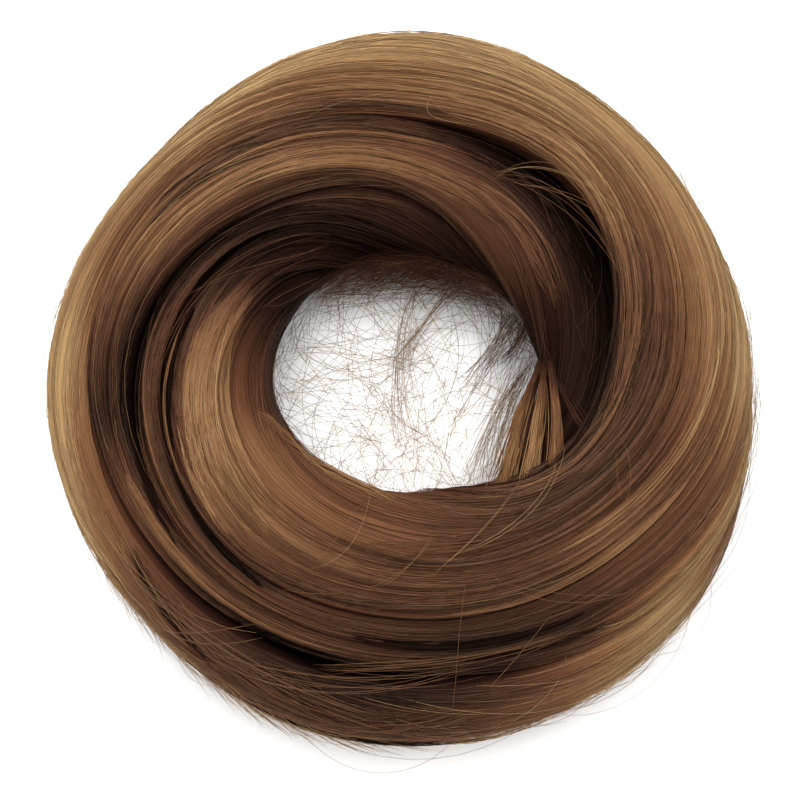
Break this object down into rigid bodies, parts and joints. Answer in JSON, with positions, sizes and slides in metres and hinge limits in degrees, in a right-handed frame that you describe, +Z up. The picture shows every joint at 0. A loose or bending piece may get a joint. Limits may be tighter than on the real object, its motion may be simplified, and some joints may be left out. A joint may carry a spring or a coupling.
{
  "type": "top knot hairpiece",
  "caption": "Ring of long straight false hair, wound in overlapping locks round a hidden elastic band, with an open middle for a wearer's own gathered hair.",
  "frame": {"origin": "on the surface that the ring lies on, below the middle of its box", "axes": "+Z up through the hole; -Y is the side that the picture shows nearest, +X is the picture's right"},
  "size_m": [0.1264, 0.131, 0.0337],
  "materials": {
    "elastic_band": "dark brown covered elastic",
    "sweep_lock": "glossy reddish brown false hair",
    "rim_lock": "glossy golden brown false hair",
    "crown_lock": "glossy warm brown false hair",
    "slim_lock": "glossy dark brown false hair"
  },
  "bodies": {
    "root": {"elastic_band": "elastic_band", "sweep_lock": "sweep_lock", "sweep_lock_under": "sweep_lock", "rim_lock": "rim_lock", "rim_lock_under": "rim_lock", "crown_lock": "crown_lock", "crown_lock_under": "crown_lock", "slim_lock": "slim_lock", "slim_lock_under": "slim_lock"}
  },
  "joints": []
}
